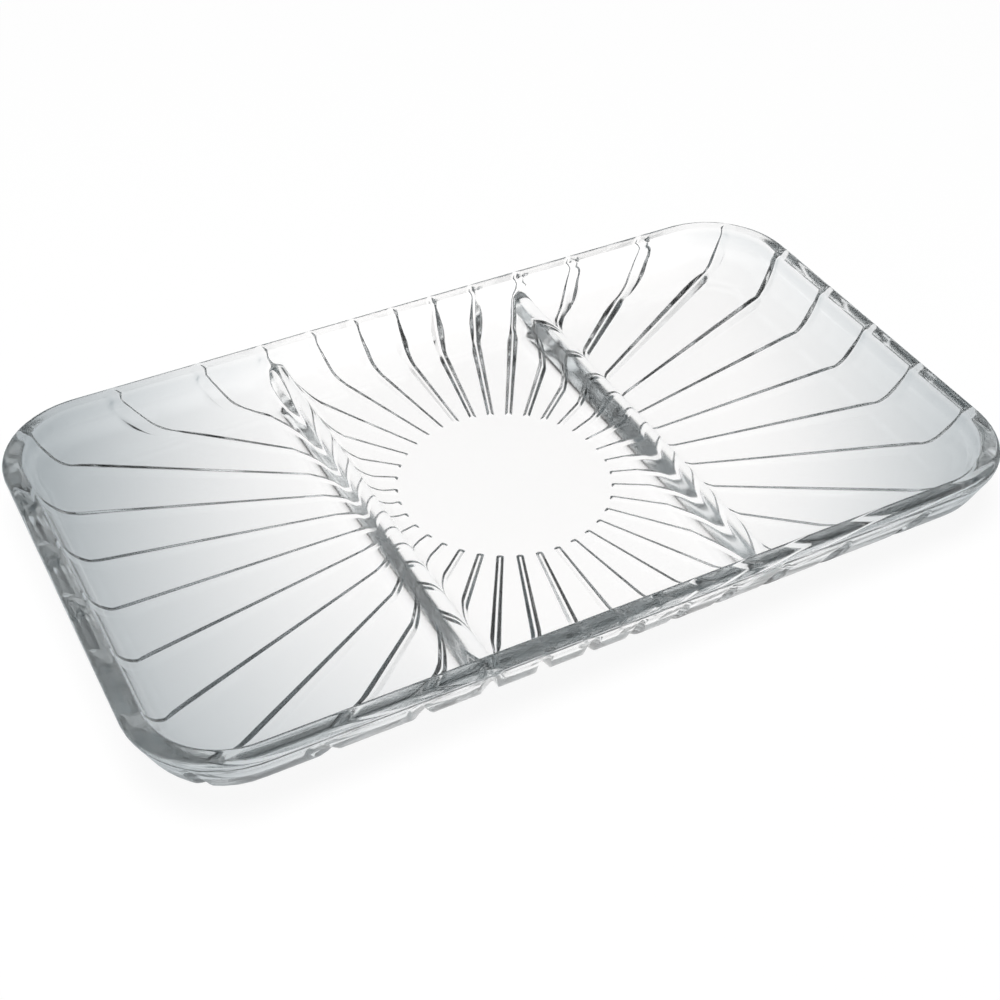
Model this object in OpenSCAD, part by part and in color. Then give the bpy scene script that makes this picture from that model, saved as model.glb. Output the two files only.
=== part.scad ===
// Oblong pressed-glass relish tray with two rounded dividers and a sunburst of grooves underneath.
// Origin: middle of the underside. X runs along the length, Y across, Z up.

/* [Outline] */
// Overall length, along X
tray_l = 305; // [240:1:360]
// Overall width, along Y
tray_w = 180; // [150:1:220]
// Overall height
tray_h = 22.2; // [21:0.1:28]
// Plan radius of the corners at the rim
corner_r = 32; // [28:0.5:44]

/* [Glass thickness] */
// Thickness of the floor
floor_t = 9.5; // [7:0.1:10.5]
// Width of the rim, across its top
rim_w = 6.8; // [5.4:0.1:9]

/* [Wall section] */
// Lean of the wall's outer face, from upright, in degrees
outer_lean = 24; // [18:0.5:28]
// Lean of the wall's inner face, from upright, in degrees
inner_lean = 12; // [8:0.5:18]
// Radius of the fillet between the floor and the wall's inner face
inner_fillet_r = 11.3; // [6:0.1:12]
// Radius of the outer edge at the foot of the wall
base_edge_r = 16; // [8:0.5:18]
// Radius of the fire-polished edges of the rim
rim_edge_r = 1.8; // [0.8:0.1:2.4]
// Height of the plain band at the rim
rim_h = 3; // [2.5:0.1:4]

/* [Dividers] */
// Distance of each divider's crest from the tray's middle
divider_x = 49.5; // [44:0.1:70]
// Height of the crest over the floor
divider_h = 8.2; // [5:0.1:9]
// Slope of the divider's sides, from level, in degrees
divider_slope = 68; // [50:1:72]
// Radius of the divider's crest
crest_r = 3; // [2:0.1:3.6]
// Radius of the fillets at the divider's feet
foot_r = 6; // [2:0.1:7]

/* [Sunburst] */
// Number of grooves round the sunburst, a multiple of four
ray_count = 36; // [24:4:40]
// Radius of the plain round middle
ray_start_r = 36.4; // [34:0.1:42]
// Depth of the grooves at their inner ends
ray_d = 0.8; // [0.5:0.1:1.1]
// Slope at which the grooves deepen outwards, in degrees
ray_slope = 1; // [0.2:0.1:1.2]
// Width of the grooves' flat bottoms
ray_flat_w = 0.6; // [0.3:0.1:1]
// Lean of the grooves' flanks, from upright, in degrees
ray_flank = 46; // [36:1:54]
// Height of the flanks, beyond which the grooves' sides run nearly parallel
ray_flank_h = 2.4; // [1.6:0.1:3]
// Draft of those sides, in degrees
ray_draft = 10; // [6:0.5:16]
// How far inside the rim's outline the grooves turn upwards
ray_inset = 12.8; // [12:0.1:15]
// Radius that the grooves' turn follows
ray_bend_r = 15.5; // [8:0.1:18]
// Lean of the grooves on the wall, from upright, in degrees
ray_lean = 32; // [28:0.5:34]

/* [Hidden] */
$fn = 96;
glass = [0.84, 0.89, 0.89, 0.55];

// How far a cutting shape runs past what it cuts
overrun = 1;
// How far inside its rounded edges a wall meets the level floor
seam_in = 1;
// Straight part that the wall's inner face keeps between its fillet and the rim's rounded edge
face_min = 0.5;
// Angle by which a sector of grooves is widened, so that none is missed at its sides
sector_margin = 3;
right_angle = 90;

// The corners turn about these upright axes. In the wall's section, u is measured outwards from them.
axis_x = tray_l / 2 - corner_r;
axis_y = tray_w / 2 - corner_r;

// Sharp corners of the wall's section, before their edges are rounded
rim_out = corner_r + rim_edge_r * (tan(outer_lean) + 1 / cos(outer_lean) - 1);
rim_in = corner_r - rim_w;
base_out = rim_out - tray_h * tan(outer_lean);
fillet_corner = rim_in - (tray_h - floor_t) * tan(inner_lean);
// Half the angle between floor and inner face, that face's length and the fillet that it has room for
fillet_half = (right_angle + inner_lean) / 2;
face_l = (tray_h - floor_t) / cos(inner_lean) - rim_edge_r / tan(fillet_half);
fillet_r = min(inner_fillet_r, (face_l - face_min) * tan(fillet_half));
// Where the fillet up to the wall and the rounded edge of the base start, and the seam inside both
floor_out = fillet_corner - fillet_r / tan(fillet_half);
base_in = base_out - base_edge_r / tan((right_angle + outer_lean) / 2);
wall_in = min(floor_out, base_in) - seam_in;
rim_z = tray_h - rim_h;

ray_step = 360 / ray_count;
ray_half_w = ray_flat_w / 2 + ray_flank_h * tan(ray_flank);
// The grooves' turn on the wall's section: its corner, its angle and half its length along each leg
ray_turn = [corner_r - ray_inset, ray_d];
ray_climb = right_angle - ray_lean;
ray_leg = ray_bend_r * (tan(ray_climb / 2) - tan(ray_climb / 4));
// Depth to which the groove's tools reach on the turn and the wall
ray_reach_d = ray_inset;

function toward(a) = [cos(a), sin(a)];
// Where an arc of radius r, in the corner at v between edges at angles a and b, has its middle
function arc_middle(v, a, b, r) = v + r / sin((b - a) / 2) * toward((a + b) / 2);
// Where that arc meets the edge at angle e
function arc_foot(v, a, b, r, e) = v + r / tan((b - a) / 2) * toward(e);
// Distance from the middle, along a ray at angle a, to the outline that lies u outside the corner axes
function ray_reach(a, u) =
    let (c = abs(cos(a)), s = abs(sin(a)), mid = axis_x * c + axis_y * s)
    (axis_x + u) * s <= axis_y * c ? (axis_x + u) / c :
    (axis_y + u) * c <= axis_x * s ? (axis_y + u) / s :
    mid + sqrt(mid * mid - axis_x * axis_x - axis_y * axis_y + u * u);
// Angles of the grooves from angle a to angle b
function rays(a, b) =
    [for (i = [ceil((a - sector_margin) / ray_step) : floor((b + sector_margin) / ray_step)]) i * ray_step];

// What a rounded edge of radius r adds to the corner at v, cut across between edges at angles a and b
module edge_round(v, a, b, r) {
    intersection() {
        translate(arc_middle(v, a, b, r)) circle(r);
        polygon([arc_foot(v, a, b, r, a), v, arc_foot(v, a, b, r, b)]);
    }
}

// Section of the wall, in u and z, with the fillet at its foot and the rim's rounded edges
module wall_section() {
    base = [base_out, 0];
    outer = [rim_out, tray_h];
    inner = [rim_in, tray_h];
    inside = [fillet_corner, floor_t];
    up_out = right_angle - outer_lean;
    up_in = right_angle - inner_lean;
    level = 2 * right_angle;
    down_out = level + up_out;
    down_in = level + up_in;
    turn = 2 * level;
    difference() {
        union() {
            polygon([
                [wall_in, 0],
                arc_foot(base, up_out, level, base_edge_r, level),
                arc_foot(base, up_out, level, base_edge_r, up_out),
                arc_foot(outer, level, down_out, rim_edge_r, down_out),
                arc_foot(outer, level, down_out, rim_edge_r, level),
                arc_foot(inner, down_in, turn, rim_edge_r, turn),
                arc_foot(inner, down_in, turn, rim_edge_r, down_in),
                arc_foot(inside, up_in, level, fillet_r, up_in),
                [floor_out, floor_t],
                [wall_in, floor_t]
            ]);
            edge_round(base, up_out, level, base_edge_r);
            edge_round(outer, level, down_out, rim_edge_r);
            edge_round(inner, down_in, turn, rim_edge_r);
        }
        translate(arc_middle(inside, up_in, level, fillet_r)) circle(fillet_r);
    }
}

// The part of the section below the rim's plain band
module foot_section() {
    intersection() {
        wall_section();
        square([rim_out, rim_z]);
    }
}

// The rim's plain band
module rim_section() {
    intersection() {
        wall_section();
        translate([0, rim_z]) square([rim_out, rim_h]);
    }
}

// A section carried along the straight right end of the tray
module along_end() {
    translate([axis_x, axis_y, 0])
        rotate([right_angle, 0, 0])
            linear_extrude(2 * axis_y) children();
}

// A section carried along the straight back side of the tray
module along_side() {
    translate([-axis_x, axis_y, 0])
        rotate([right_angle, 0, right_angle])
            linear_extrude(2 * axis_x) children();
}

// A section carried round the back right corner
module round_corner() {
    translate([axis_x, axis_y, 0])
        rotate_extrude(angle = right_angle) children();
}

// Bar along X whose flat top lies on the X axis, with sloping flanks and, below them, drafted sides
module groove_bar(length, reach) {
    side_half = ray_half_w + (reach - ray_flank_h) * tan(ray_draft);
    rotate([right_angle, 0, right_angle])
        linear_extrude(length)
            polygon([
                [ray_flat_w / 2, 0],
                [ray_half_w, -ray_flank_h],
                [side_half, -reach],
                [-side_half, -reach],
                [-ray_half_w, -ray_flank_h],
                [-ray_flat_w / 2, 0]
            ]);
}

// Groove along the underside, at angle a
module floor_groove(a) {
    rotate([0, 0, a])
        translate([ray_start_r, 0, ray_d])
            rotate([0, -ray_slope, 0])
                groove_bar(ray_reach(a, rim_out) - ray_start_r, ray_reach_d);
}

// Part of the groove at angle a between two points of the wall's section
module climbing_groove(a, from, to) {
    run = ray_reach(a, to[0]) - ray_reach(a, from[0]);
    rise = to[1] - from[1];
    rotate([0, 0, a])
        translate([ray_reach(a, from[0]), 0, from[1]])
            rotate([0, -atan2(rise, run), 0])
                translate([-overrun, 0, 0])
                    groove_bar(norm([rise, run]) + 2 * overrun, ray_reach_d);
}

// The same groove where it turns and climbs the wall, as far as the rim's plain band
module wall_groove(a) {
    low = ray_turn - [ray_leg, 0];
    high = ray_turn + ray_leg * toward(ray_climb);
    top = ray_turn + (tray_h - ray_d) / sin(ray_climb) * toward(ray_climb);
    climbing_groove(a, low, high);
    climbing_groove(a, high, top);
}

// What is left of a wall when its grooves are cut, for the grooves between angles a and b
module grooved_wall(a, b) {
    difference() {
        children();
        for (angle = rays(a, b)) {
            floor_groove(angle);
            wall_groove(angle);
        }
    }
}

// Plan of the level floor
module floor_plan() {
    square([2 * (axis_x + wall_in), 2 * axis_y], center = true);
    square([2 * axis_x, 2 * (axis_y + wall_in)], center = true);
    for (x = [-axis_x, axis_x], y = [-axis_y, axis_y])
        translate([x, y]) circle(wall_in);
}

// Level floor between two places along X, with the grooves between angles a and b
module grooved_floor(from_x, to_x, a, b) {
    difference() {
        linear_extrude(floor_t)
            intersection() {
                floor_plan();
                translate([from_x, -tray_w / 2]) square([to_x - from_x, tray_w]);
            }
        for (angle = rays(a, b))
            floor_groove(angle);
    }
}

// Section of a divider, in x and z from the foot of its crest, with a rounded crest and hollow feet
module divider_section() {
    peak = [0, divider_h + crest_r * (1 / cos(divider_slope) - 1)];
    side = peak[1] / tan(divider_slope);
    level = 2 * right_angle;
    down_left = level + divider_slope;
    down_right = 2 * level - divider_slope;
    difference() {
        union() {
            polygon([
                arc_foot([-side, 0], divider_slope, level, foot_r, level),
                arc_foot([side, 0], 0, level - divider_slope, foot_r, 0),
                arc_foot([side, 0], 0, level - divider_slope, foot_r, level - divider_slope),
                arc_foot(peak, down_left, down_right, crest_r, down_right),
                arc_foot(peak, down_left, down_right, crest_r, down_left),
                arc_foot([-side, 0], divider_slope, level, foot_r, divider_slope)
            ]);
            intersection() {
                translate(arc_middle(peak, down_left, down_right, crest_r)) circle(crest_r);
                translate([-side, 0]) square([2 * side, peak[1]]);
            }
        }
        translate(arc_middle([side, 0], 0, level - divider_slope, foot_r)) circle(foot_r);
        translate(arc_middle([-side, 0], divider_slope, level, foot_r)) circle(foot_r);
    }
}

// Divider on the right, cut to the walls that it runs into
module divider() {
    half_run = axis_y + rim_in;
    difference() {
        translate([divider_x, half_run, floor_t])
            rotate([right_angle, 0, 0])
                linear_extrude(2 * half_run) divider_section();
        along_side() wall_section();
        mirror([0, 1, 0]) along_side() wall_section();
    }
}

// Angles, seen from the middle, at which the straight walls end
end_angle = atan2(axis_y, axis_x + wall_in);
side_angle = atan2(axis_y + wall_in, axis_x);
floor_angle = atan2(axis_y + wall_in, divider_x);

module end_wall() { grooved_wall(-end_angle, end_angle) along_end() foot_section(); }
module side_wall() { grooved_wall(side_angle, 2 * right_angle - side_angle) along_side() foot_section(); }
module corner_wall() { grooved_wall(end_angle, side_angle) round_corner() foot_section(); }
module end_floor() { grooved_floor(divider_x, tray_l / 2, -floor_angle, floor_angle); }

// Sub-parts
module floor_centre() {
    color(glass) grooved_floor(-divider_x, divider_x, 0, 360 - ray_step);
}
module floor_right() { color(glass) end_floor(); }
module floor_left() { color(glass) mirror([1, 0, 0]) end_floor(); }
module divider_right() { color(glass) divider(); }
module divider_left() { color(glass) mirror([1, 0, 0]) divider(); }
module wall_right() { color(glass) end_wall(); }
module wall_left() { color(glass) mirror([1, 0, 0]) end_wall(); }
module wall_back() { color(glass) side_wall(); }
module wall_front() { color(glass) mirror([0, 1, 0]) side_wall(); }
module corner_back_right() { color(glass) corner_wall(); }
module corner_back_left() { color(glass) mirror([1, 0, 0]) corner_wall(); }
module corner_front_right() { color(glass) mirror([0, 1, 0]) corner_wall(); }
module corner_front_left() { color(glass) mirror([1, 0, 0]) mirror([0, 1, 0]) corner_wall(); }
module rim_right() { color(glass) along_end() rim_section(); }
module rim_left() { color(glass) mirror([1, 0, 0]) along_end() rim_section(); }
module rim_back() { color(glass) along_side() rim_section(); }
module rim_front() { color(glass) mirror([0, 1, 0]) along_side() rim_section(); }
module rim_corner_back_right() { color(glass) round_corner() rim_section(); }
module rim_corner_back_left() { color(glass) mirror([1, 0, 0]) round_corner() rim_section(); }
module rim_corner_front_right() { color(glass) mirror([0, 1, 0]) round_corner() rim_section(); }
module rim_corner_front_left() {
    color(glass) mirror([1, 0, 0]) mirror([0, 1, 0]) round_corner() rim_section();
}

floor_left();
floor_centre();
floor_right();
divider_left();
divider_right();
wall_front();
wall_back();
wall_left();
wall_right();
corner_front_left();
corner_front_right();
corner_back_left();
corner_back_right();
rim_front();
rim_back();
rim_left();
rim_right();
rim_corner_front_left();
rim_corner_front_right();
rim_corner_back_left();
rim_corner_back_right();
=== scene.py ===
"""Clear pressed-glass relish tray: one continuous body of glass over the frame, on a plain white floor."""

from math import atan2, cos, pi, radians, sin, sqrt, tan

import bmesh
import bpy
import numpy as np
from mathutils import Matrix, Vector


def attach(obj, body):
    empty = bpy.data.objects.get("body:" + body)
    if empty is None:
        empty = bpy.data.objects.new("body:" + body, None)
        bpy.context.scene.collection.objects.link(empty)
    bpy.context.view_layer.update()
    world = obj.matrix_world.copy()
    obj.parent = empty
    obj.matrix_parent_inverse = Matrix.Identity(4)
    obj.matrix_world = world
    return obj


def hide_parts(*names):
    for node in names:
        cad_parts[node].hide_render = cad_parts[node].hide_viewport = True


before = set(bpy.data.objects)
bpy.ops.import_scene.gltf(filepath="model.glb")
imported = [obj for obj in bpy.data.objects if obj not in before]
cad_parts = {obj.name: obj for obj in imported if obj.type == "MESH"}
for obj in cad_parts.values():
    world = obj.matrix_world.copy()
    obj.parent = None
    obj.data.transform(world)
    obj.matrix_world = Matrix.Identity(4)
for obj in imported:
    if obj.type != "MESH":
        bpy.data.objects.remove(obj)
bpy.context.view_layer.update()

# Sizes of the tray, in millimetres and degrees
MM = 0.001
TRAY_L, TRAY_W, TRAY_H, CORNER_R = 305.0, 180.0, 22.2, 32.0
FLOOR_T, RIM_W = 9.5, 6.8
OUTER_LEAN, INNER_LEAN = radians(24.0), radians(12.0)
INNER_FILLET_R, RIM_EDGE_R, BASE_EDGE_R, RIM_H = 11.3, 1.8, 16.0, 3.0
DIVIDER_X, DIVIDER_H, DIVIDER_SLOPE = 49.5, 8.2, radians(68.0)
CREST_R, FOOT_R = 3.0, 6.0
# How far the crease is softened where a divider runs into the wall
BLEND = 4.0

# The grooves underneath: where they start, how they deepen, their section and their way up the wall
RAY_COUNT, RAY_START_R = 36, 36.4
RAY_D, RAY_SLOPE = 0.8, tan(radians(1.0))
RAY_FLAT, RAY_FLANK, RAY_FLANK_H, RAY_DRAFT = 0.3, tan(radians(46.0)), 2.4, tan(radians(10.0))
RAY_INSET, RAY_BEND_R, RAY_LEAN = 12.8, 15.5, radians(32.0)
# How much the edges of the grooves are softened: under the floor, more on the wall, and where they turn
CREASE_FLOOR, CREASE_MORE, CREASE_RISE, CREASE_TURN = 0.16, 0.3, 3.0, 0.5
# Power that rounds the grooves' inner ends
END_POWER = 4

# The mesh of the inside: steps on its arcs and flats, and its columns along the floor
FILLET_STEPS, FACE_STEPS, INNER_EDGE_STEPS, CORNER_STEPS = 26, 5, 9, 28
CREST_STEPS, SIDE_STEPS, FOOT_STEPS, ACROSS_STEPS = 9, 5, 11, 14
CENTRE_XS, END_XS = (0.0, 8.0, 16.0, 24.0, 32.0), (72.0, 82.0, 92.0, 102.0, 112.0)
# Rows that keep the shading flat: on the rim, beside the fillet and halfway to it
RIM_LAP, FLOOR_LAP, FLOOR_MID_SHARE = 0.15, 0.3, 0.5
# Points nearer than this, in metres, are one point
WELD_DISTANCE = 1e-6

# The mesh of the outside: steps down the wall, rows at the grooves' inner ends, columns in and between them
OUTER_EDGE_STEPS, WALL_STEPS, BASE_STEPS = 8, 9, 24
UNDER_ROWS = (0.4, 1.0, 2.0, 3.5, 5.5, 8.0)
RAY_LEAD = 3.0
START_ROWS = (0.0, 2.2, 2.8, 3.0, 3.15, 3.35, 3.55, 3.7, 3.9, 4.4, 6.5, 9.0)
RUN_SHARES = (0.75, 0.5, 0.25, 0.1)
FLAT_OFFSETS, EDGE_OFFSETS = (RAY_FLAT, 0.14, 0.05), (0.06, 0.16, 0.4, 0.85)
FLANK_SHARES, GAP_SHARES = (0.06, 0.22, 0.42, 0.62, 0.82, 0.95), (0.17, 0.33, 0.5, 0.67, 0.83)
REACH_HALVINGS = 60
# The grooves' way up the wall: steps on its bend, points on its curve and how many of them soften it
BEND_STEPS, PATH_POINTS, PATH_SOFT, PATH_STEP = 40, 1281, 20, 0.05

# The glass: index, tint and its strength per metre, ripple, uneven polish, and the smoother band at the wall
GLASS_INDEX, GLASS_TINT, GLASS_TINT_STRENGTH = 1.52, (0.76, 0.83, 0.85, 1.0), 6.0
RIPPLE_SCALE, RIPPLE_DETAIL, RIPPLE_D = 70.0, 1.0, 0.02
POLISH_SCALE, POLISH_DETAIL, POLISH_MIN, POLISH_MAX = 25.0, 4.0, 0.08, 0.14
WALL_BAND, WALL_FINISH = 22.0, 0.8

# The camera: place in millimetres, turn in degrees, lens and sensor
CAMERA_PLACE = (-206.72, -386.28, 379.92)
CAMERA_AZIMUTH, CAMERA_ELEVATION, CAMERA_ROLL = radians(-27.96), radians(41.16), radians(0.41)
CAMERA_LENS, CAMERA_SENSOR, CAMERA_CLIP = 61.164, 36.0, (0.01, 20.0)

# The stage, in metres: the floor, the pool of light painted on it that the glass sees, the levels and the
# lamp
FLOOR_HALF, FLOOR_GAP = 3.0, 0.0003
POOL_MIDDLE, POOL_TURN, POOL_SHARE = (0.035, 0.045, 0.0), radians(27.0), 0.65
POOL_R, POOL_LEVELS = (0.069, 0.218, 0.60), (1.0, 0.30, 0.0)
POOL_GAIN, POOL_POWERS = 1.08, (1.18, 1.06, 1.0)
FLOOR_SEEN, FLOOR_DIFFUSE, WORLD_SEEN, WORLD_LEVEL = 0.93, 0.09, 0.95, 0.02
LAMP_PLACE, LAMP_SIZE, LAMP_POWER = (-0.15, -0.10, 1.30), 0.8, 15.0
BOUNCES, GLOSSY_BOUNCES = 32, 16

# Worked out: the corner axes, and the sharp corners of the wall's and the dividers' sections
AXIS_X, AXIS_Y = TRAY_L / 2 - CORNER_R, TRAY_W / 2 - CORNER_R
RIM_OUT = CORNER_R + RIM_EDGE_R * (tan(OUTER_LEAN) + 1 / cos(OUTER_LEAN) - 1)
RIM_IN = CORNER_R - RIM_W
BASE_OUT = RIM_OUT - TRAY_H * tan(OUTER_LEAN)
FILLET_CORNER = RIM_IN - (TRAY_H - FLOOR_T) * tan(INNER_LEAN)
FLOOR_OUT = FILLET_CORNER - INNER_FILLET_R / tan((pi / 2 + INNER_LEAN) / 2)
DIVIDER_PEAK = DIVIDER_H + CREST_R * (1 / cos(DIVIDER_SLOPE) - 1)
DIVIDER_FOOT = DIVIDER_PEAK / tan(DIVIDER_SLOPE) + FOOT_R * tan(DIVIDER_SLOPE / 2)


def arc(centre, radius, start, end, count):
    """Points on an arc, its two ends among them."""
    angles = np.linspace(start, end, count + 1)
    return [(centre[0] + radius * cos(a), centre[1] + radius * sin(a)) for a in angles]


def line(start, end, count):
    """Points between two ends, without the ends."""
    return [tuple(np.add(start, np.subtract(end, start) * i / count)) for i in range(1, count)]


def inner_profile():
    """Section of the inside, from the corner axis out to the flat of the rim."""
    centre = (FLOOR_OUT, FLOOR_T + INNER_FILLET_R)
    fillet = arc(centre, INNER_FILLET_R, -pi / 2, -INNER_LEAN, FILLET_STEPS)
    edge_x = RIM_IN + RIM_EDGE_R * tan((pi / 2 - INNER_LEAN) / 2)
    edge = arc((edge_x, TRAY_H - RIM_EDGE_R), RIM_EDGE_R, pi - INNER_LEAN, pi / 2, INNER_EDGE_STEPS)
    floor = [(u, FLOOR_T) for u in (0.0, FLOOR_OUT * FLOOR_MID_SHARE, FLOOR_OUT - FLOOR_LAP)]
    face = line(fillet[-1], edge[0], FACE_STEPS)
    return floor + fillet + face + edge + [(edge[-1][0] + RIM_LAP, TRAY_H)]


def outer_profile():
    """Section of the outside, from the flat of the rim down the wall to the underside."""
    edge_x = RIM_OUT - RIM_EDGE_R / tan((pi / 2 - OUTER_LEAN) / 2)
    edge = arc((edge_x, TRAY_H - RIM_EDGE_R), RIM_EDGE_R, pi / 2, -OUTER_LEAN, OUTER_EDGE_STEPS)
    base_x = BASE_OUT - BASE_EDGE_R * tan((pi / 2 - OUTER_LEAN) / 2)
    base = arc((base_x, BASE_EDGE_R), BASE_EDGE_R, -OUTER_LEAN, -pi / 2, BASE_STEPS)
    wall = line(edge[-1], base[0], WALL_STEPS)
    under = [(base_x - inwards, 0.0) for inwards in UNDER_ROWS]
    return [(edge[0][0] - RIM_LAP, TRAY_H)] + edge + wall + base + under


def ridge(offset):
    """Height of a divider over the floor, at a distance from its crest."""
    x = abs(offset)
    if x < CREST_R * sin(DIVIDER_SLOPE):
        return DIVIDER_H - CREST_R + sqrt(CREST_R ** 2 - x * x)
    if x < DIVIDER_FOOT - FOOT_R * sin(DIVIDER_SLOPE):
        return DIVIDER_PEAK - x * tan(DIVIDER_SLOPE)
    return FOOT_R - sqrt(FOOT_R ** 2 - (DIVIDER_FOOT - x) ** 2) if x < DIVIDER_FOOT else 0.0


def smooth_max(a, b, reach):
    """The larger of two heights, with the crease between them rounded over a reach."""
    near = np.maximum(reach - np.abs(a - b), 0) / reach
    return np.maximum(a, b) + near * near * reach / 4


def floor_point(x, y, rise):
    """Point of the inside where the wall has risen over the floor, with the divider that may be there."""
    height = ridge(abs(x) - DIVIDER_X)
    reach = min(rise, height, BLEND)
    top = smooth_max(rise, height, reach) if reach > 0 else max(rise, height)
    return (x, y, FLOOR_T + top)


def grid_faces(rows, columns, closed=False):
    """Quads of a grid of rows by columns, whose last column may join the first."""
    faces = []
    for r in range(rows - 1):
        for c in range(columns if closed else columns - 1):
            d = (c + 1) % columns
            a, b = r * columns, (r + 1) * columns
            faces.append((a + c, a + d, b + d, b + c))
    return faces


def inside_grids():
    """The inside, as grids of points that meet edge to edge: the middle, sides, ends and corners."""
    profile = inner_profile()
    crest = [CREST_R * sin(a) for a in np.linspace(0, DIVIDER_SLOPE, CREST_STEPS + 1)]
    hollow = [DIVIDER_FOOT - FOOT_R * sin(a) for a in np.linspace(DIVIDER_SLOPE, 0, FOOT_STEPS + 1)]
    side = list(np.linspace(crest[-1], hollow[0], SIDE_STEPS + 1))[1:-1]
    offsets = crest + side + hollow
    ridge_xs = sorted({DIVIDER_X + s * o for o in offsets for s in (-1, 1)})
    half_xs = [*CENTRE_XS, *ridge_xs, *END_XS, AXIS_X]
    xs = sorted({s * x for x in half_xs for s in (-1, 1)})
    ys = list(np.linspace(-AXIS_Y, AXIS_Y, ACROSS_STEPS + 1))

    grids = [[[floor_point(x, y, 0.0) for x in xs] for y in ys]]
    for s in (-1, 1):
        grids.append([[floor_point(x, s * (AXIS_Y + u), z - FLOOR_T) for x in xs][::s] for u, z in profile])
        grids.append([[(s * (AXIS_X + u), y, z) for y in ys][::-s] for u, z in profile])
    turns = np.linspace(0.0, pi / 2, CORNER_STEPS + 1)
    for sx in (-1, 1):
        for sy in (-1, 1):
            corner = [[(sx * (AXIS_X + u * cos(a)), sy * (AXIS_Y + u * sin(a)), z) for a in turns]
                      for u, z in profile]
            grids.append([row[::-sx * sy] for row in corner])
    return grids


def outline_u(x, y):
    """How far a plan point lies outside the corner axes, as the tray's outline is measured."""
    over_x, over_y = np.abs(x) - AXIS_X, np.abs(y) - AXIS_Y
    round_u = np.hypot(np.maximum(over_x, 0), np.maximum(over_y, 0))
    return np.where((over_x > 0) & (over_y > 0), round_u, np.maximum(over_x, over_y))


def ray_paths():
    """Plan lines of the outside's columns: start, direction and the angle of the groove they belong to."""
    start_r = RAY_START_R - RAY_LEAD
    half = (RAY_D - RAY_LEAD * RAY_SLOPE) * RAY_FLANK
    spread = RAY_SLOPE * RAY_FLANK
    lines = [(RAY_FLAT - w, 0.0) for w in FLAT_OFFSETS]
    lines += [(RAY_FLAT + share * half, share * spread) for share in FLANK_SHARES]
    lines += [(RAY_FLAT + half + w, spread) for w in EDGE_OFFSETS]
    lines = [(-w, -turn) for w, turn in lines[:0:-1]] + lines
    step = 2 * pi / RAY_COUNT
    columns = []
    for i in range(RAY_COUNT):
        angle = i * step
        for w, turn in lines:
            columns.append((angle + atan2(w, sqrt(start_r ** 2 - w * w)), angle + turn, angle))
        low = angle + atan2(lines[-1][0], start_r)
        high = angle + step + atan2(lines[0][0], start_r)
        for share in GAP_SHARES:
            near = angle if share <= 0.5 else angle + step
            columns.append((low + share * (high - low), angle + spread + share * (step - 2 * spread), near))
    polar, heading, groove = (np.array(values) for values in zip(*columns))
    return start_r * np.cos(polar), start_r * np.sin(polar), np.cos(heading), np.sin(heading), groove


def outline_reach(sx, sy, dx, dy, u):
    """Distance along each column at which it meets the outline that lies u outside the corner axes."""
    low, high = np.zeros_like(sx), np.full_like(sx, TRAY_L)
    for _ in range(REACH_HALVINGS):
        mid = (low + high) / 2
        beyond = outline_u(sx + mid * dx, sy + mid * dy) > u
        high = np.where(beyond, mid, high)
        low = np.where(beyond, low, mid)
    return (low + high) / 2


def groove_path():
    """Height of the grooves' bottoms over u: level, a round bend, up the wall, and level under the rim."""
    corner = CORNER_R - RAY_INSET
    climb = pi / 2 - RAY_LEAN
    bend_u = corner - RAY_BEND_R * tan(climb / 2)
    bend = arc((bend_u, RAY_D + RAY_BEND_R), RAY_BEND_R, -pi / 2, climb - pi / 2, BEND_STEPS)
    top = TRAY_H - RIM_H
    run = (corner + (top - RAY_D) * tan(RAY_LEAN), top)
    u, z = zip(*([(0.0, RAY_D)] + bend + [run, (TRAY_W, top)]))
    path_u = np.linspace(0.0, 2 * CORNER_R, PATH_POINTS)
    height = np.pad(np.interp(path_u, u, z), PATH_SOFT, mode="edge")
    window = np.hanning(2 * PATH_SOFT + 1)
    return path_u, np.convolve(height, window / window.sum(), mode="valid")


def groove_section(across):
    """Depth of a groove's sides under its bottom: a flat, the flanks, then drafted sides."""
    width = RAY_FLANK_H * RAY_FLANK
    flank = np.clip(across - RAY_FLAT, 0, width)
    side = np.maximum(across - RAY_FLAT - width, 0)
    return flank / RAY_FLANK + side / RAY_DRAFT


def groove_height(x, y, angle):
    """Height of a groove's surface at plan points, by the groove's angle."""
    along = x * np.cos(angle) + y * np.sin(angle)
    across = np.abs(y * np.cos(angle) - x * np.sin(angle))
    end = np.maximum(RAY_FLAT + RAY_D * RAY_FLANK + RAY_START_R - along, 0)
    across = (across ** END_POWER + end ** END_POWER) ** (1 / END_POWER)
    path_u, path_z = groove_path()
    u = outline_u(along * np.cos(angle), along * np.sin(angle))
    wall = np.interp(u, path_u, path_z)
    path = smooth_max(wall, RAY_D + RAY_SLOPE * (along - RAY_START_R), CREASE_TURN)
    rise = np.interp(u + PATH_STEP, path_u, path_z) - np.interp(u - PATH_STEP, path_u, path_z)
    slope = rise / (2 * PATH_STEP)
    return path - groove_section(across) * np.sqrt(1 + slope ** 2)


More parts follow.
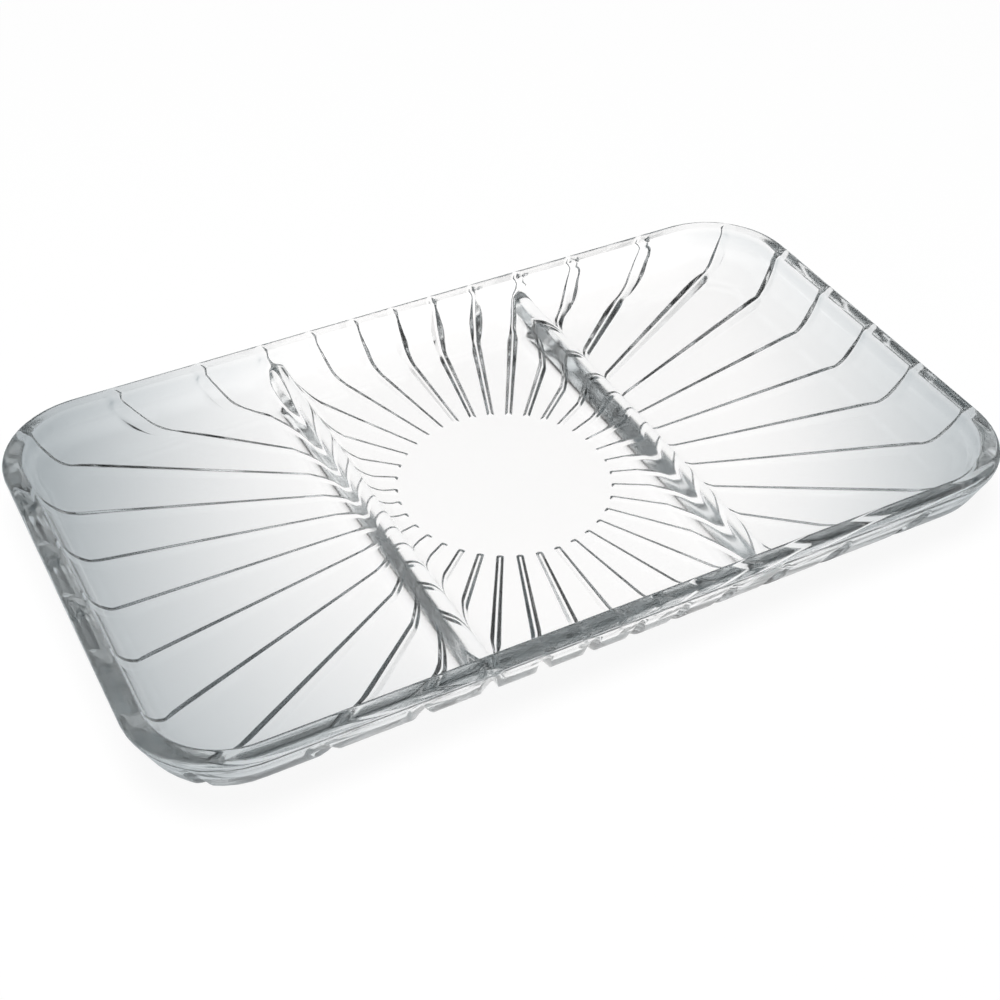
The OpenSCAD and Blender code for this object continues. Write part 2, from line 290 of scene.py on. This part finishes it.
def outside_grid():
    """The outside, from the rim to the plain round middle of the underside, with its grooves."""
    sx, sy, dx, dy, groove = ray_paths()
    profile = outer_profile()
    rows = []
    for u, z in profile:
        reach = outline_reach(sx, sy, dx, dy, u)
        rows.append((sx + reach * dx, sy + reach * dy, np.full_like(sx, z)))
    last, first = outline_reach(sx, sy, dx, dy, profile[-1][0]), START_ROWS[-1]
    run = [first + (last - first) * share for share in RUN_SHARES]
    for reach in run + [np.full_like(sx, distance) for distance in START_ROWS[::-1]]:
        rows.append((sx + reach * dx, sy + reach * dy, np.zeros_like(sx)))
    points = []
    for x, y, z in rows:
        crease = CREASE_FLOOR + CREASE_MORE * np.clip(z / CREASE_RISE, 0, 1)
        height = smooth_max(z, groove_height(x, y, groove), crease)
        points.append(np.stack([x, y, height], axis=1))
    return np.array(points)


def zip_loops(inner, outer, points):
    """Triangles between two closed loops of the flat of the rim, each in order of angle."""
    def in_order(loop):
        turn = {v: atan2(points[v][1], points[v][0]) % (2 * pi) for v in loop}
        ring = sorted(loop, key=turn.get)
        return ring + ring[:1], [turn[v] for v in ring] + [turn[ring[0]] + 2 * pi]

    (a, a_turn), (b, b_turn) = in_order(inner), in_order(outer)
    faces, i, j = [], 0, 0
    while i < len(a) - 1 or j < len(b) - 1:
        if j == len(b) - 1 or (i < len(a) - 1 and a_turn[i + 1] <= b_turn[j + 1]):
            faces.append((a[i], b[j], a[i + 1]))
            i += 1
        else:
            faces.append((a[i], b[j], b[j + 1]))
            j += 1
    return faces


def build_tray():
    """The whole tray as one closed mesh."""
    bm = bmesh.new()
    for grid in inside_grids():
        verts = [bm.verts.new(Vector(p) * MM) for row in grid for p in row]
        for face in grid_faces(len(grid), len(grid[0])):
            bm.faces.new([verts[v] for v in face])
    bmesh.ops.remove_doubles(bm, verts=bm.verts, dist=WELD_DISTANCE)
    rim_inner = [v for v in bm.verts if v.is_boundary]

    outside = outside_grid()
    rows, columns, _ = outside.shape
    low = [bm.verts.new(Vector(p) * MM) for p in outside.reshape(-1, 3)]
    for face in grid_faces(rows, columns, closed=True):
        bm.faces.new([low[v] for v in face])
    middle = bm.verts.new((0, 0, 0))
    inner_ring = low[(rows - 1) * columns:]
    for c in range(columns):
        bm.faces.new((middle, inner_ring[c], inner_ring[(c + 1) % columns]))

    rim_outer = low[:columns]
    bm.verts.index_update()
    by_index = {v.index: v for v in rim_inner + rim_outer}
    places = {index: v.co for index, v in by_index.items()}
    for face in zip_loops([v.index for v in rim_inner], [v.index for v in rim_outer], places):
        bm.faces.new([by_index[v] for v in face])
    bmesh.ops.recalc_face_normals(bm, faces=bm.faces)
    for face in bm.faces:
        face.smooth = True
    mesh = bpy.data.meshes.new("tray_glass")
    bm.to_mesh(mesh)
    bm.free()
    tray = bpy.data.objects.new("tray_glass", mesh)
    bpy.context.collection.objects.link(tray)
    return tray


def maths(tree, operation, *values):
    """A sum in a node tree, on numbers and sockets, and the socket with its result."""
    node = tree.nodes.new("ShaderNodeMath")
    node.operation = operation
    for socket, value in zip(node.inputs, values):
        if isinstance(value, float):
            socket.default_value = value
        else:
            tree.links.new(value, socket)
    return node.outputs[0]


def map_range(tree, value, start, end, start_level, end_level, curve="LINEAR"):
    """A socket that goes from one level to another while the value goes from start to end."""
    node = tree.nodes.new("ShaderNodeMapRange")
    node.interpolation_type = curve
    tree.links.new(value, node.inputs["Value"])
    node.inputs["From Min"].default_value, node.inputs["From Max"].default_value = start, end
    node.inputs["To Min"].default_value, node.inputs["To Max"].default_value = start_level, end_level
    return node.outputs["Result"]


def glass_material():
    """Clear pressed glass, faintly cool, with the soft ripple and the uneven polish that a mould leaves."""
    material = bpy.data.materials.new("pressed_glass")
    material.use_nodes = True
    tree = material.node_tree
    nodes, links = tree.nodes, tree.links
    shader = nodes["Principled BSDF"]
    shader.inputs["Base Color"].default_value = (1.0, 1.0, 1.0, 1.0)
    shader.inputs["IOR"].default_value = GLASS_INDEX
    shader.inputs["Transmission Weight"].default_value = 1.0
    place = nodes.new("ShaderNodeTexCoord").outputs["Object"]

    def noise(scale, detail):
        node = nodes.new("ShaderNodeTexNoise")
        node.inputs["Scale"].default_value = scale
        node.inputs["Detail"].default_value = detail
        links.new(place, node.inputs["Vector"])
        return node.outputs["Fac"]

    ripple = nodes.new("ShaderNodeBump")
    ripple.inputs["Strength"].default_value = 1.0
    ripple.inputs["Distance"].default_value = RIPPLE_D * MM
    links.new(noise(RIPPLE_SCALE, RIPPLE_DETAIL), ripple.inputs["Height"])
    links.new(ripple.outputs["Normal"], shader.inputs["Normal"])

    polish = map_range(tree, noise(POLISH_SCALE, POLISH_DETAIL), 0.0, 1.0, POLISH_MIN, POLISH_MAX)
    sides = nodes.new("ShaderNodeSeparateXYZ")
    links.new(place, sides.inputs["Vector"])
    over = []
    for axis, length in (("X", TRAY_L), ("Y", TRAY_W)):
        distance = maths(tree, "ABSOLUTE", sides.outputs[axis])
        over.append(maths(tree, "SUBTRACT", distance, (length / 2 - WALL_BAND) * MM))
    band = map_range(tree, maths(tree, "MAXIMUM", *over), 0.0, WALL_BAND / 2 * MM, 1.0, WALL_FINISH)
    links.new(maths(tree, "MULTIPLY", polish, band), shader.inputs["Roughness"])

    volume = nodes.new("ShaderNodeVolumeAbsorption")
    volume.inputs["Color"].default_value = GLASS_TINT
    volume.inputs["Density"].default_value = GLASS_TINT_STRENGTH
    links.new(volume.outputs["Volume"], nodes["Material Output"].inputs["Volume"])
    return material


def add_camera():
    """Camera at the photograph's place and angle."""
    level = cos(CAMERA_ELEVATION)
    back = Vector((sin(CAMERA_AZIMUTH) * level, -cos(CAMERA_AZIMUTH) * level, sin(CAMERA_ELEVATION)))
    right_level = Vector((cos(CAMERA_AZIMUTH), sin(CAMERA_AZIMUTH), 0.0))
    up_level = back.cross(right_level)
    right = cos(CAMERA_ROLL) * right_level + sin(CAMERA_ROLL) * up_level
    up = cos(CAMERA_ROLL) * up_level - sin(CAMERA_ROLL) * right_level
    data = bpy.data.cameras.new("camera")
    data.sensor_width = CAMERA_SENSOR
    data.lens = CAMERA_LENS
    data.clip_start, data.clip_end = CAMERA_CLIP
    camera = bpy.data.objects.new("camera", data)
    turn = Matrix((right, up, back)).transposed().to_4x4()
    camera.matrix_world = Matrix.Translation(Vector(CAMERA_PLACE) * MM) @ turn
    bpy.context.collection.objects.link(camera)
    bpy.context.scene.camera = camera


def floor_material():
    """White floor with a painted pool of light that the glass sees, dimmer and cooler outwards as painted
    shade, and a soft shadow.
    """
    material = bpy.data.materials.new("white_floor")
    material.use_nodes = True
    tree = material.node_tree
    nodes, links = tree.nodes, tree.links
    nodes.remove(nodes["Principled BSDF"])

    oval = nodes.new("ShaderNodeMapping")
    oval.vector_type = "TEXTURE"
    oval.inputs["Location"].default_value = POOL_MIDDLE
    oval.inputs["Rotation"].default_value = (0.0, 0.0, -POOL_TURN)
    oval.inputs["Scale"].default_value = (1.0, 1.0 / POOL_SHARE, 1.0)
    links.new(nodes.new("ShaderNodeNewGeometry").outputs["Position"], oval.inputs["Vector"])
    length = nodes.new("ShaderNodeVectorMath")
    length.operation = "LENGTH"
    links.new(oval.outputs["Vector"], length.inputs[0])
    reach = length.outputs["Value"]

    # Painted light: the pool is emission on the floor for glass rays, fading to painted shade and a cooler
    # tint outwards
    (near_r, mid_r, far_r), (near_level, mid_level, far_level) = POOL_R, POOL_LEVELS
    near = map_range(tree, reach, near_r, mid_r, 1.0, mid_level / near_level, "SMOOTHSTEP")
    far = map_range(tree, reach, mid_r, far_r, 1.0, far_level / mid_level, "SMOOTHSTEP")
    pool = maths(tree, "MULTIPLY", maths(tree, "MULTIPLY", near, far), POOL_GAIN)
    path = nodes.new("ShaderNodeLightPath")
    through = maths(tree, "MAXIMUM", path.outputs["Is Glossy Ray"], path.outputs["Is Transmission Ray"])
    seen = maths(tree, "MULTIPLY", path.outputs["Is Camera Ray"], FLOOR_SEEN)
    tint = nodes.new("ShaderNodeCombineColor")
    for socket, power in zip(tint.inputs, POOL_POWERS):
        lit = maths(tree, "MULTIPLY", through, maths(tree, "POWER", pool, power))
        links.new(maths(tree, "MAXIMUM", seen, lit), socket)
    glow = nodes.new("ShaderNodeEmission")
    links.new(tint.outputs["Color"], glow.inputs["Color"])
    diffuse = nodes.new("ShaderNodeBsdfDiffuse")
    diffuse.inputs["Color"].default_value = (FLOOR_DIFFUSE, FLOOR_DIFFUSE, FLOOR_DIFFUSE, 1.0)
    both = nodes.new("ShaderNodeAddShader")
    links.new(diffuse.outputs[0], both.inputs[0])
    links.new(glow.outputs[0], both.inputs[1])
    links.new(both.outputs[0], nodes["Material Output"].inputs["Surface"])
    return material


def add_floor():
    """The white floor under the tray."""
    corners = [(x * FLOOR_HALF, y * FLOOR_HALF, 0) for x, y in ((-1, -1), (1, -1), (1, 1), (-1, 1))]
    mesh = bpy.data.meshes.new("floor")
    mesh.from_pydata(corners, [], [(0, 1, 2, 3)])
    mesh.materials.append(floor_material())
    floor = bpy.data.objects.new("floor", mesh)
    floor.location.z = -FLOOR_GAP
    bpy.context.collection.objects.link(floor)


def add_light():
    """The soft lamp over the tray, and surroundings that are white to the camera and dim to the glass."""
    data = bpy.data.lights.new("soft_box", "AREA")
    data.shape = "DISK"
    data.size = LAMP_SIZE
    data.energy = LAMP_POWER
    lamp = bpy.data.objects.new("soft_box", data)
    lamp.location = LAMP_PLACE
    lamp.visible_glossy = lamp.visible_transmission = False
    lamp.rotation_euler = (-Vector(LAMP_PLACE)).to_track_quat("-Z", "Y").to_euler()
    bpy.context.collection.objects.link(lamp)

    world = bpy.data.worlds.new("world")
    bpy.context.scene.world = world
    world.use_nodes = True
    tree = world.node_tree
    background = tree.nodes["Background"]
    background.inputs["Color"].default_value = (1.0, 1.0, 1.0, 1.0)
    camera_ray = tree.nodes.new("ShaderNodeLightPath").outputs["Is Camera Ray"]
    level = map_range(tree, camera_ray, 0.0, 1.0, WORLD_LEVEL, WORLD_SEEN)
    tree.links.new(level, background.inputs["Strength"])


tray = build_tray()
tray.data.materials.append(glass_material())
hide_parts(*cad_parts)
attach(tray, "root")

add_camera()
add_floor()
add_light()

scene = bpy.context.scene
scene.view_settings.view_transform = "Standard"
scene.cycles.max_bounces = BOUNCES
scene.cycles.transmission_bounces = BOUNCES
scene.cycles.glossy_bounces = GLOSSY_BOUNCES
